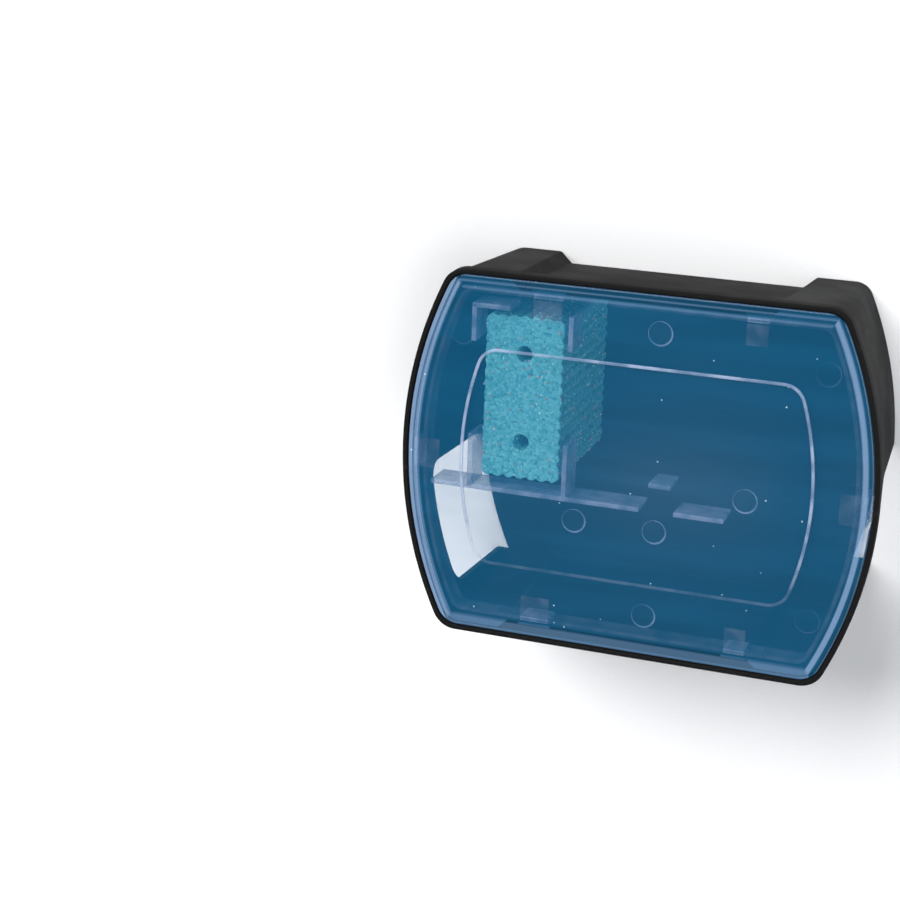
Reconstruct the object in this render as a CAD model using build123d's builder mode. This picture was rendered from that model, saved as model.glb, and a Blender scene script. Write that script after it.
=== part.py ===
"""Rat bait station: an open moulded tray, a clear clip-on lid and a moulded bait block.

Frame: millimetres, +Z up, X along the length, Y along the width. The origin is the middle of
the underside of the tray, so the station rests on Z = 0 with its lid on top.
"""

import os
from math import cos, pi, radians, sin, sqrt, tan

from build123d import *

os.makedirs("parts", exist_ok=True)

# Overall outline of the tray's rim, seen from above: two straight sides and two bowed ends.
LENGTH = 172.0
WIDTH = 136.0
HEIGHT = 66.0
END_BOW = 16.5
CORNER_RADIUS = 9.0

# Tray walls. An inset is measured inward from the outside of the rim.
WALL = 1.8
FLOOR = 2.0
RIM_WALL = 1.8
COLLAR_HEIGHT = 5.0
COLLAR_STEP = 1.0
FOOT_INSET = 4.5
FOOT_EDGE = 1.0

# Shallow panel set back into the middle of each long wall, with 45 degree flanks.
PANEL_FROM_END = 39.5
PANEL_DEPTH_FOOT = 4.2
PANEL_DEPTH_TOP = 3.4
PANEL_EDGE_RADIUS = 1.2

# Entrances: one in each end wall. The one at -X is near the corner, and the one at +X is nearer
# the middle, so that there is no straight line of sight along the long wall. Each keeps further
# from the side than the foot's inset and the floor's setback together.
LEFT_ENTRANCE_FROM_SIDE = 10.0
RIGHT_ENTRANCE_FROM_SIDE = 27.0
ENTRANCE_WIDTH = 46.0
LINTEL_HEIGHT = 21.0
ENTRANCE_CORNER_RADIUS = 6.0
ENTRANCE_FLOOR_SETBACK = 5.0

# Clear lid, which drops inside the rim onto a ledge.
LID_THICKNESS = 2.0
LID_GAP = 0.3
LID_EDGE = 0.5
LID_BELOW_RIM = 0.6
SKIRT_SETBACK = 4.6
SKIRT_THICKNESS = 1.5
SKIRT_DEPTH = 8.0
SKIRT_GAP = 0.35

# Raised line that frames the plain panel on top of the lid.
BORDER_FROM_END = 22.0
BORDER_FROM_SIDE = 27.5
BORDER_BOW = 7.5
BORDER_CORNER_RADIUS = 8.0
BORDER_WIDTH = 1.2

# Ribs under the lid.
RIB_THICKNESS = 1.8
RIB_DEPTH = 13.0
GUIDE_LENGTH = 14.0
GUIDE_LOW_LENGTH = 20.0
BAFFLE_BLOCK_GAP = 2.6
BAFFLE_END_X = 2.5
BAFFLE_END_GAP = 1.5
SHORT_BAFFLE_X = (15.0, 33.0)
TAB_X = (5.5, 13.5)
TAB_SETBACK = 9.5

# Clip hooks on the lid, and the slots in the tray that they drop into.
SIDE_HOOK_X = (-34.0, 40.0)
SIDE_HOOK_WIDTHS = (10.5, 7.5)
END_HOOK_Y = -2.0
END_HOOK_WIDTH = 11.0
HOOK_THICKNESS = 1.6
HOOK_DEPTH = 9.0
HOOK_BARB = 0.8
HOOK_BARB_HEIGHT = 2.0
SLOT_SIDE_GAP = 0.8
SLOT_END_GAP = 1.5
SLOT_DEPTH = 1.6
HOOK_MARK_REACH = 7.5
HOOK_MARK_GAP = 0.5

# Round ejector marks, moulded into the lid's underside.
EJECTOR_RADIUS = 4.25
EJECTOR_FROM_END = 21.0
EJECTOR_FROM_SIDE = 16.0
EJECTOR_CORNER_FROM_SIDE = 23.5
EJECTOR_SIDE_X = 6.5
EJECTOR_ROW_X = (-21.0, 8.5)
EJECTOR_ROW_GAP = 7.5
EJECTOR_LONE_X = 40.0
EJECTOR_LONE_GAP = 8.5
MARK_DEPTH = 0.4

# Bait block, standing on the tray's floor.
BLOCK_LENGTH = 30.0
BLOCK_WIDTH = 61.0
BLOCK_HEAD_GAP = 3.4
BLOCK_SIDE_GAP = 5.6
BLOCK_END_GAP = 11.8
BLOCK_CORNER_RADIUS = 3.0
BLOCK_HOLE_RADIUS = 2.6
BLOCK_HOLE_SPACING = 32.5
BLOCK_GUIDE_GAP = 1.9
GROOVE_RADIUS = 0.9
GROOVE_PITCH = 4.2

# Sizes that follow from the ones above.
HALF_LENGTH = LENGTH / 2
HALF_WIDTH = WIDTH / 2
PANEL_HALF_SPAN = HALF_LENGTH - PANEL_FROM_END
END_RADIUS = (HALF_WIDTH**2 + END_BOW**2) / (2 * END_BOW)
END_CENTRE = HALF_LENGTH - END_RADIUS
COLLAR_Z = HEIGHT - COLLAR_HEIGHT
LEDGE_Z = HEIGHT - LID_BELOW_RIM - LID_THICKNESS
LID_TOP = LEDGE_Z + LID_THICKNESS
LID_INSET = RIM_WALL + LID_GAP
SLOT_LOW_Z = LEDGE_Z - HOOK_DEPTH - SLOT_END_GAP
ENTRANCE_HEIGHT = HEIGHT - LINTEL_HEIGHT
LEFT_ENTRANCE_Y = LEFT_ENTRANCE_FROM_SIDE - HALF_WIDTH + ENTRANCE_WIDTH / 2
RIGHT_ENTRANCE_Y = RIGHT_ENTRANCE_FROM_SIDE - HALF_WIDTH + ENTRANCE_WIDTH / 2
BLOCK_HEIGHT = LEDGE_Z - FLOOR - BLOCK_HEAD_GAP
# A 45 degree corner set in by 1 mm moves sideways by this much.
PANEL_SPREAD = tan(pi / 8)


def end_x(inset, y):
    """X of the bowed end, set in by inset, at the given Y."""
    return END_CENTRE + sqrt((END_RADIUS - inset) ** 2 - y**2)


def wall_inset(z):
    """Inset of the outside of the tapered wall at a height under the collar."""
    return FOOT_INSET + (COLLAR_STEP - FOOT_INSET) * z / COLLAR_Z


def panel_depth(z):
    """Depth of the long walls' panels at a height under the collar."""
    return PANEL_DEPTH_FOOT + (PANEL_DEPTH_TOP - PANEL_DEPTH_FOOT) * z / COLLAR_Z


def inner_inset(z):
    """Inset of the inside of the walls at a height, clear of the panels."""
    return wall_inset(z) + WALL


# The skirt and the side hooks hang clear of the panels, and the end hooks of the end walls.
SKIRT_LOW_Z = LEDGE_Z - SKIRT_DEPTH
SKIRT_INSET = max(
    LID_INSET + SKIRT_SETBACK,
    inner_inset(SKIRT_LOW_Z) + panel_depth(SKIRT_LOW_Z) + SKIRT_GAP,
)
END_HOOK_INSET = inner_inset(SLOT_LOW_Z) + SKIRT_GAP

# The block stands in the corner of the floor, clear of the side panel and the end wall.
BLOCK_TOP_Y = HALF_WIDTH - inner_inset(FLOOR) - panel_depth(FLOOR) - BLOCK_SIDE_GAP
BLOCK_LEFT_X = BLOCK_END_GAP - end_x(inner_inset(FLOOR), BLOCK_TOP_Y)
BLOCK_X = BLOCK_LEFT_X + BLOCK_LENGTH / 2
BLOCK_Y = BLOCK_TOP_Y - BLOCK_WIDTH / 2
BAFFLE_Y = BLOCK_TOP_Y - BLOCK_WIDTH - BAFFLE_BLOCK_GAP - RIB_THICKNESS / 2


def bowed_outline(half_length, half_width, bow, radius):
    """Face with two straight long sides, two bowed ends and rounded corners."""
    corner_x = half_length - bow
    with BuildSketch() as shape:
        with BuildLine():
            Line((corner_x, half_width), (-corner_x, half_width))
            ThreePointArc((-corner_x, half_width), (-half_length, 0), (-corner_x, -half_width))
            Line((-corner_x, -half_width), (corner_x, -half_width))
            ThreePointArc((corner_x, -half_width), (half_length, 0), (corner_x, half_width))
        make_face()
        fillet(shape.vertices(), radius)
    return shape.sketch


def rim_outline(inset):
    """The rim's outline, set in by inset all round."""
    tip_x = end_x(inset, 0)
    corner_x = end_x(inset, HALF_WIDTH - inset)
    return bowed_outline(tip_x, HALF_WIDTH - inset, tip_x - corner_x, CORNER_RADIUS - inset / 2)


def panel_cut(inset, depth):
    """The two set-back panels, as faces to take away from a rim outline with the same inset."""
    side_y = HALF_WIDTH - inset
    span = PANEL_HALF_SPAN + inset * PANEL_SPREAD
    with BuildSketch() as shape:
        for side in (1, -1):
            with BuildLine():
                Polyline(
                    (-span, side * side_y),
                    (-span + depth, side * (side_y - depth)),
                    (span - depth, side * (side_y - depth)),
                    (span, side * side_y),
                    close=True,
                )
            make_face()
    return shape.sketch


def wall_outline(inset, depth):
    """The walls' outline with its panels set back by depth."""
    with BuildSketch() as shape:
        add(rim_outline(inset))
        add(panel_cut(inset, depth), mode=Mode.SUBTRACT)
        span = PANEL_HALF_SPAN + inset * PANEL_SPREAD
        edges_of_panels = [v for v in shape.vertices() if abs(v.X) < span + PANEL_EDGE_RADIUS]
        fillet(edges_of_panels, PANEL_EDGE_RADIUS)
    return shape.sketch


def hook_places():
    """Each clip hook: middle of its outer face, outward direction in degrees, and width."""
    side_y = HALF_WIDTH - SKIRT_INSET
    end = end_x(END_HOOK_INSET, END_HOOK_WIDTH / 2 - END_HOOK_Y)
    places = [
        (end, END_HOOK_Y, 0, END_HOOK_WIDTH),
        (-end, END_HOOK_Y, 180, END_HOOK_WIDTH),
    ]
    for x, width in zip(SIDE_HOOK_X, SIDE_HOOK_WIDTHS):
        places.append((x, side_y, 90, width))
        places.append((x, -side_y, -90, width))
    return places


def upright_plane(x, y, z, angle):
    """Upright plane whose X points outward at an angle in degrees and whose Y points up."""
    outward = (cos(radians(angle)), sin(radians(angle)), 0)
    sideways = (sin(radians(angle)), -cos(radians(angle)), 0)
    return Plane(origin=(x, y, z), x_dir=outward, z_dir=sideways)


def box_between(low, high):
    """Solid box from one corner to the opposite one."""
    size = [b - a for a, b in zip(low, high)]
    middle = [(a + b) / 2 for a, b in zip(low, high)]
    return Pos(*middle) * Box(*size, mode=Mode.PRIVATE)


def rib(x_from, x_to, y_from, y_to):
    """Rib under the lid, over a rectangle seen from above."""
    return box_between((x_from, y_from, LEDGE_Z - RIB_DEPTH), (x_to, y_to, LEDGE_Z))


def rib_along_x(x_from, x_to, y):
    """Rib under the lid that runs along X."""
    return rib(x_from, x_to, y - RIB_THICKNESS / 2, y + RIB_THICKNESS / 2)


def rib_along_y(x, y_from, y_to):
    """Rib under the lid that runs along Y."""
    return rib(x - RIB_THICKNESS / 2, x + RIB_THICKNESS / 2, y_from, y_to)


# Tray: tapered walls with set-back panels, an upright collar, and a ledge for the lid.
foot_face = wall_outline(FOOT_INSET, PANEL_DEPTH_FOOT)
wall_top_face = wall_outline(COLLAR_STEP, PANEL_DEPTH_TOP)
cavity_foot_face = wall_outline(wall_inset(FLOOR) + WALL, panel_depth(FLOOR))
cavity_top_face = wall_outline(COLLAR_STEP + WALL, PANEL_DEPTH_TOP)
rim_face = rim_outline(0)
seat_face = rim_outline(RIM_WALL)
floor_edge_face = rim_outline(FOOT_INSET + ENTRANCE_FLOOR_SETBACK)

with BuildPart() as entrances:
    for start_x, middle_y in ((-HALF_LENGTH, LEFT_ENTRANCE_Y), (0, RIGHT_ENTRANCE_Y)):
        with BuildSketch(Plane.YZ.offset(start_x)):
            with Locations((middle_y, 0)):
                Rectangle(ENTRANCE_WIDTH, 2 * ENTRANCE_HEIGHT)
            fillet(vertices(), ENTRANCE_CORNER_RADIUS)
        extrude(amount=HALF_LENGTH)
    with BuildSketch(Plane.XY.offset(-ENTRANCE_HEIGHT)):
        add(floor_edge_face)
    extrude(amount=2 * ENTRANCE_HEIGHT, mode=Mode.SUBTRACT)

with BuildPart() as tray:
    with BuildSketch():
        add(foot_face)
    with BuildSketch(Plane.XY.offset(COLLAR_Z)):
        add(wall_top_face)
    loft(ruled=True)
    with BuildSketch(Plane.XY.offset(COLLAR_Z)):
        add(rim_face)
    extrude(amount=COLLAR_HEIGHT)
    chamfer(tray.faces().sort_by(Axis.Z)[0].outer_wire().edges(), FOOT_EDGE)
    with BuildSketch(Plane.XY.offset(FLOOR)):
        add(cavity_foot_face)
    with BuildSketch(Plane.XY.offset(COLLAR_Z)):
        add(cavity_top_face)
    loft(ruled=True, mode=Mode.SUBTRACT)
    with BuildSketch(Plane.XY.offset(COLLAR_Z)):
        add(cavity_top_face)
    extrude(amount=COLLAR_HEIGHT, mode=Mode.SUBTRACT)
    with BuildSketch(Plane.XY.offset(LEDGE_Z)):
        add(seat_face)
    extrude(amount=HEIGHT - LEDGE_Z, mode=Mode.SUBTRACT)
    add(entrances.part, mode=Mode.SUBTRACT)
    for x, y, angle, width in hook_places():
        with Locations(Location((x, y, SLOT_LOW_Z), (0, 0, angle))):
            Box(
                SLOT_DEPTH,
                width + 2 * SLOT_SIDE_GAP,
                LEDGE_Z - SLOT_LOW_Z,
                align=(Align.MIN, Align.CENTER, Align.MIN),
                mode=Mode.SUBTRACT,
            )
tray.part.label = "base_tray"
export_step(tray.part, "parts/base_tray.step")

# Lid: a plate with a skirt, ribs, clip hooks, a raised border line and moulding marks.
lid_face = rim_outline(LID_INSET)
skirt_face = rim_outline(SKIRT_INSET)
skirt_hollow_face = rim_outline(SKIRT_INSET + SKIRT_THICKNESS)
border_length = HALF_LENGTH - BORDER_FROM_END
border_width = HALF_WIDTH - BORDER_FROM_SIDE
border_face = bowed_outline(border_length, border_width, BORDER_BOW, BORDER_CORNER_RADIUS)
border_hollow_face = bowed_outline(
    border_length - BORDER_WIDTH,
    border_width - BORDER_WIDTH,
    BORDER_BOW,
    BORDER_CORNER_RADIUS - BORDER_WIDTH,
)

barb_top = LEDGE_Z - HOOK_DEPTH + HOOK_BARB_HEIGHT
mark_start = HOOK_THICKNESS + HOOK_MARK_GAP

# The ribs stand clear of the block's sides by the guide gap.
guide_offset = BLOCK_LENGTH / 2 + BLOCK_GUIDE_GAP + RIB_THICKNESS / 2
guide_left_x = BLOCK_X - guide_offset
guide_right_x = BLOCK_X + guide_offset
guide_top_y = BLOCK_Y + BLOCK_WIDTH / 2 + BLOCK_GUIDE_GAP + RIB_THICKNESS / 2
baffle_start_x = -end_x(SKIRT_INSET + SKIRT_THICKNESS, BAFFLE_Y) + BAFFLE_END_GAP
corner_x = guide_left_x - RIB_THICKNESS / 2
corner_y = guide_top_y + RIB_THICKNESS / 2
ribs = [
    rib_along_x(corner_x, corner_x + GUIDE_LENGTH, guide_top_y),
    rib_along_y(guide_left_x, corner_y - GUIDE_LENGTH, corner_y),
    rib_along_y(guide_right_x, corner_y - GUIDE_LENGTH, corner_y - RIB_THICKNESS),
    rib_along_y(guide_left_x, BAFFLE_Y, BAFFLE_Y + GUIDE_LOW_LENGTH),
    rib_along_y(guide_right_x, BAFFLE_Y, BAFFLE_Y + GUIDE_LOW_LENGTH),
    rib_along_x(baffle_start_x, BAFFLE_END_X, BAFFLE_Y),
    rib_along_x(*SHORT_BAFFLE_X, BAFFLE_Y),
    rib_along_x(*TAB_X, BAFFLE_Y + TAB_SETBACK),
]
ejector_end_x = HALF_LENGTH - EJECTOR_FROM_END
ejector_side_y = HALF_WIDTH - EJECTOR_FROM_SIDE
ejector_corner_y = HALF_WIDTH - EJECTOR_CORNER_FROM_SIDE
ejector_places = [
    (EJECTOR_SIDE_X, ejector_side_y),
    (EJECTOR_SIDE_X, -ejector_side_y),
    (ejector_end_x, ejector_corner_y),
    (ejector_end_x, -ejector_corner_y),
    (-ejector_end_x, ejector_corner_y),
    (EJECTOR_LONE_X, BAFFLE_Y + EJECTOR_LONE_GAP),
]
ejector_places += [(x, BAFFLE_Y - EJECTOR_ROW_GAP) for x in EJECTOR_ROW_X]

with BuildPart() as lid:
    with BuildSketch(Plane.XY.offset(LEDGE_Z)):
        add(lid_face)
    extrude(amount=LID_THICKNESS)
    fillet(lid.faces().sort_by(Axis.Z)[-1].outer_wire().edges(), LID_EDGE)
    with BuildSketch(Plane.XY.offset(LID_TOP)):
        add(border_face)
        add(border_hollow_face, mode=Mode.SUBTRACT)
    extrude(amount=LID_BELOW_RIM)
    for x, y, angle, width in hook_places():
        with BuildSketch(Plane(Location((x, y, LEDGE_Z), (0, 0, angle)))):
            with Locations((-mark_start, 0)):
                Rectangle(HOOK_MARK_REACH, width, align=(Align.MAX, Align.CENTER))
        extrude(amount=MARK_DEPTH, mode=Mode.SUBTRACT)
    with BuildSketch(Plane.XY.offset(LEDGE_Z)):
        with Locations(*ejector_places):
            Circle(EJECTOR_RADIUS)
    extrude(amount=MARK_DEPTH, mode=Mode.SUBTRACT)
    with BuildSketch(Plane.XY.offset(LEDGE_Z + MARK_DEPTH)):
        add(skirt_face)
        add(skirt_hollow_face, mode=Mode.SUBTRACT)
    extrude(amount=-SKIRT_DEPTH - MARK_DEPTH)
    for piece in ribs:
        add(piece)
    for x, y, angle, width in hook_places():
        with Locations(Location((x, y, LEDGE_Z), (0, 0, angle))):
            Box(
                HOOK_THICKNESS,
                width,
                HOOK_DEPTH,
                align=(Align.MAX, Align.CENTER, Align.MAX),
            )
        with BuildSketch(upright_plane(x, y, barb_top, angle)):
            with BuildLine():
                Polyline((0, 0), (HOOK_BARB, 0), (0, -HOOK_BARB_HEIGHT), close=True)
            make_face()
        extrude(amount=width / 2, both=True)
lid.part.label = "lid"
export_step(lid.part, "parts/lid.step")

# Bait block: an extruded block with lengthwise grooves and two holes from top to bottom.
groove_rows_x = int((BLOCK_LENGTH - 2 * BLOCK_CORNER_RADIUS) / GROOVE_PITCH) + 1
groove_rows_y = int((BLOCK_WIDTH - 2 * BLOCK_CORNER_RADIUS) / GROOVE_PITCH) + 1

with BuildPart() as block:
    with BuildSketch(Plane.XY.offset(FLOOR)):
        with Locations((BLOCK_X, BLOCK_Y)):
            RectangleRounded(BLOCK_LENGTH, BLOCK_WIDTH, BLOCK_CORNER_RADIUS)
            with GridLocations(BLOCK_LENGTH, GROOVE_PITCH, 2, groove_rows_y):
                Circle(GROOVE_RADIUS, mode=Mode.SUBTRACT)
            with GridLocations(GROOVE_PITCH, BLOCK_WIDTH, groove_rows_x, 2):
                Circle(GROOVE_RADIUS, mode=Mode.SUBTRACT)
            with GridLocations(0, BLOCK_HOLE_SPACING, 1, 2):
                Circle(BLOCK_HOLE_RADIUS, mode=Mode.SUBTRACT)
    extrude(amount=BLOCK_HEIGHT)
block.part.label = "bait_block"
export_step(block.part, "parts/bait_block.step")
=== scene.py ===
"""A rodent bait station: a black moulded tray, a hazy clear lid and a block of grain bait.

Lengths are metres in the part's own frame: +Z up, X along the length, and the origin in the
middle of the tray's underside. A value written in millimetres is multiplied by MM.
"""

import logging
import math
from collections.abc import Iterable, Sequence
from dataclasses import dataclass
from enum import Enum

import bmesh
import bpy
from mathutils import Matrix, Vector


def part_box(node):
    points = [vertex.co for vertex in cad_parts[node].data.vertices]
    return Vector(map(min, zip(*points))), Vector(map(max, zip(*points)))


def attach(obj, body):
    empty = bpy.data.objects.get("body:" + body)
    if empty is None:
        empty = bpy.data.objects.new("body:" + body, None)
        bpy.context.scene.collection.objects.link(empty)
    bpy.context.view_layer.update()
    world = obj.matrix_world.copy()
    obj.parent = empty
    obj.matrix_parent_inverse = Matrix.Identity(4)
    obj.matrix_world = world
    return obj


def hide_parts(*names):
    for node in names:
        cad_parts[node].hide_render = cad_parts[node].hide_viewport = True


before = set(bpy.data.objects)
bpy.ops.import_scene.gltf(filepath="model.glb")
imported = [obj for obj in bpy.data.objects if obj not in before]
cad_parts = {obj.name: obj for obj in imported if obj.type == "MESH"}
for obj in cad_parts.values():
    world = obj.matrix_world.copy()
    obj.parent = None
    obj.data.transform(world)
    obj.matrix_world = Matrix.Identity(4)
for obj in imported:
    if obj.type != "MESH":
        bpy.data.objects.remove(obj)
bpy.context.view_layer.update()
log = logging.getLogger("bait_station")

MM = 0.001
SMOOTH_ANGLE = math.radians(32)

Colour = tuple[float, float, float]
Point2 = tuple[float, float]
Ring = list[Vector]
Band = tuple[float, float, float, float]


class Body(Enum):
    """The bodies that the pieces ride on."""

    TRAY = "tray"
    LID = "lid"
    BAIT = "bait"


class Slot(Enum):
    """The record's material slots."""

    BLACK_PLASTIC = "black_plastic"
    CLEAR_PLASTIC = "clear_plastic"
    BAIT_WAX = "bait_wax"


# ---------------------------------------------------------------- shapes


def spaced(start: float, end: float, steps: int) -> list[float]:
    """Evenly spaced values from start to end.

    Args:
        start: First value.
        end: Last value.
        steps: How many gaps lie between them.

    Returns:
        steps + 1 values.
    """
    return [start + (end - start) * i / steps for i in range(steps + 1)]


def arc(centre: Point2, radius: float, start: float, end: float, steps: int) -> list[Point2]:
    """Points along a circular arc.

    Args:
        centre: Middle of the circle.
        radius: Its radius.
        start: First angle in radians.
        end: Last angle in radians.
        steps: How many straight runs the arc has.

    Returns:
        The arc's points, both ends included.
    """
    x, y = centre
    return [(x + radius * math.cos(a), y + radius * math.sin(a)) for a in spaced(start, end, steps)]


@dataclass(frozen=True)
class Outline:
    """Closed outline seen from above: two straight long sides, two bowed ends, rounded corners.

    Attributes:
        half_length: Half of the length, at the middle of the ends.
        half_width: Half of the distance between the long sides.
        bow: How far an end bulges past its corners.
        radius: Corner radius.
        panel_half: Half of the width of the panel set into each long side, or 0 for none.
        panel_radius: Radius of the panel's upright edges.
    """

    half_length: float
    half_width: float
    bow: float
    radius: float
    panel_half: float = 0.0
    panel_radius: float = 1.2 * MM

    @property
    def end_radius(self) -> float:
        """Radius of the bowed ends."""
        return (self.half_width**2 + self.bow**2) / (2 * self.bow)

    @property
    def end_centre(self) -> float:
        """X of the middle of the +X end's circle."""
        return self.half_length - self.end_radius

    def end_x(self, inset: float, y: float) -> float:
        """X of the +X end, set in by inset, at a given Y."""
        return self.end_centre + math.sqrt((self.end_radius - inset) ** 2 - y**2)

    def panel_points(self, inset: float, depth: float, flat: bool) -> list[Point2]:
        """Points along half of one long side, round the two edges of its panel.

        Args:
            inset: How far in from the outline.
            depth: How deep the panel is set back.
            flat: True to keep the points' places along X but leave the side straight.

        Returns:
            Points in order of falling X.
        """
        side_y = self.half_width - inset
        span = self.panel_half + inset * math.tan(math.pi / 8)
        bend = self.panel_radius
        run = bend * math.tan(math.pi / 8)
        edge = arc((span + run, side_y - bend), bend, math.pi / 2, 0.75 * math.pi, 3)
        foot = arc(
            (span - depth - run, side_y - depth + bend), bend, -math.pi / 4, -math.pi / 2, 3
        )
        points = edge + foot
        return [(x, side_y) for x, _ in points] if flat else points

    def loop(self, inset: float = 0.0, depth: float = 0.0, flat: bool = True) -> list[Point2]:
        """The whole outline, anticlockwise from the middle of the +X end.

        Args:
            inset: How far in from the outline.
            depth: Depth of the panels in the long sides.
            flat: True to leave the long sides straight.

        Returns:
            The outline's points. Loops of one outline always have the same number of points.
        """
        side_y = self.half_width - inset
        big = self.end_radius - inset
        small = self.radius - inset / 2
        corner_x = self.end_centre + math.sqrt((big - small) ** 2 - (side_y - small) ** 2)
        turn = math.atan2(side_y - small, corner_x - self.end_centre)
        points = arc((self.end_centre, 0.0), big, 0.0, turn, 28)
        points += arc((corner_x, side_y - small), small, turn, math.pi / 2, 10)[1:]
        if self.panel_half:
            points += self.panel_points(inset, depth, flat)
        last_x, last_y = points[-1]
        points += [(x, last_y) for x in spaced(last_x, 0.0, 4)[1:]]
        left = [(-x, y) for x, y in reversed(points[:-1])]
        below = [(-x, -y) for x, y in points[1:]]
        right = [(x, -y) for x, y in reversed(points[1:-1])]
        return points + left + below + right


def raised(points: Iterable[Point2], z: float) -> Ring:
    """Points seen from above, put at a height."""
    return [Vector((x, y, z)) for x, y in points]


def plain_object(name: str, mesh: bpy.types.Mesh) -> bpy.types.Object:
    """A new object at the origin that shows a mesh."""
    made = bpy.data.objects.new(name, mesh)
    bpy.context.scene.collection.objects.link(made)
    return made


def mesh_from(shape: bmesh.types.BMesh, name: str) -> bpy.types.Mesh:
    """Turns a bmesh into a mesh with outward faces.

    Args:
        shape: The bmesh, which is freed.
        name: Name of the mesh.

    Returns:
        The new mesh.
    """
    bmesh.ops.recalc_face_normals(shape, faces=shape.faces[:])
    mesh = bpy.data.meshes.new(name)
    shape.to_mesh(mesh)
    shape.free()
    return mesh


def bridged(
    shape: bmesh.types.BMesh, low: Sequence[bmesh.types.BMVert], high: Sequence[bmesh.types.BMVert]
) -> list[bmesh.types.BMFace]:
    """Joins two closed loops of the same number of points with a band of faces.

    Args:
        shape: The bmesh that takes the faces.
        low: First loop.
        high: Second loop.

    Returns:
        The faces.
    """
    count = len(low)
    turns = [(i, (i + 1) % count) for i in range(count)]
    return [shape.faces.new((low[i], low[j], high[j], high[i])) for i, j in turns]


def moulded(name: str, shape: bmesh.types.BMesh) -> bpy.types.Object:
    """A new object from a bmesh, with soft shading but for its sharp edges."""
    made = plain_object(name, mesh_from(shape, name))
    soft_shaded(made.data)
    return made


def stacked(name: str, rings: Sequence[Ring]) -> bpy.types.Mesh:
    """Closed skin through a stack of rings, with a flat cap on the first and last one.

    Args:
        name: Name of the mesh.
        rings: Rings of points, all with the same number of points.

    Returns:
        The mesh.
    """
    shape = bmesh.new()
    rows = [[shape.verts.new(point) for point in ring] for ring in rings]
    for low, high in zip(rows, rows[1:]):
        bridged(shape, low, high)
    shape.faces.new(rows[0])
    shape.faces.new(rows[-1])
    return mesh_from(shape, name)


def rounded_box(
    shape: bmesh.types.BMesh, low: Vector, high: Vector, edge: float, draft: float = 0.0
) -> None:
    """Adds a box with rounded edges to a bmesh.

    Args:
        shape: The bmesh that takes the box.
        low: Lowest corner.
        high: Highest corner.
        edge: Radius of the edges.
        draft: How much narrower the foot is than the head, on each side.
    """
    made = bmesh.ops.create_cube(shape, size=1.0)
    middle = (low + high) / 2
    size = high - low
    for vert in made["verts"]:
        taper = draft if vert.co.z < 0 else 0.0
        vert.co.x *= size.x - 2 * taper
        vert.co.y *= size.y - 2 * taper
        vert.co.z *= size.z
        vert.co += middle
    edges = list({e for vert in made["verts"] for e in vert.link_edges})
    bmesh.ops.bevel(shape, geom=edges, offset=edge, segments=2, profile=0.5, affect="EDGES")


def plain_mesh(made: bpy.types.Object) -> bpy.types.Mesh:
    """The mesh that an object shows with its modifiers applied."""
    graph = bpy.context.evaluated_depsgraph_get()
    return bpy.data.meshes.new_from_object(made.evaluated_get(graph), depsgraph=graph)


def settle(made: bpy.types.Object) -> bpy.types.Object:
    """Swaps an object's modifiers for the plain mesh that they give."""
    mesh = plain_mesh(made)
    made.modifiers.clear()
    made.data = mesh
    return made


def cut_away(made: bpy.types.Object, tool_mesh: bpy.types.Mesh) -> bpy.types.Object:
    """Cuts one solid away from an object.

    Args:
        made: The object to change.
        tool_mesh: The mesh of the solid that is cut away.

    Returns:
        The changed object.
    """
    tool = plain_object("tool", tool_mesh)
    step = made.modifiers.new("cut", "BOOLEAN")
    step.operation = "DIFFERENCE"
    step.solver = "EXACT"
    step.object = tool
    settle(made)
    bpy.data.objects.remove(tool)
    return made


def soft_shaded(mesh: bpy.types.Mesh, angle: float = SMOOTH_ANGLE) -> None:
    """Shades a mesh smooth, but for edges sharper than an angle."""
    mesh.shade_smooth()
    mesh.set_sharp_from_angle(angle=angle)


def dress(
    made: bpy.types.Object, material: bpy.types.Material, body: Body
) -> bpy.types.Object:
    """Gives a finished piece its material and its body.

    Args:
        made: The piece.
        material: Its finish, or the one that it already has.
        body: The body that it rides on.

    Returns:
        The piece.
    """
    if material.name not in made.data.materials:
        made.data.materials.clear()
        made.data.materials.append(material)
    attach(made, body.value)
    return made


# ---------------------------------------------------------------- node trees


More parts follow.
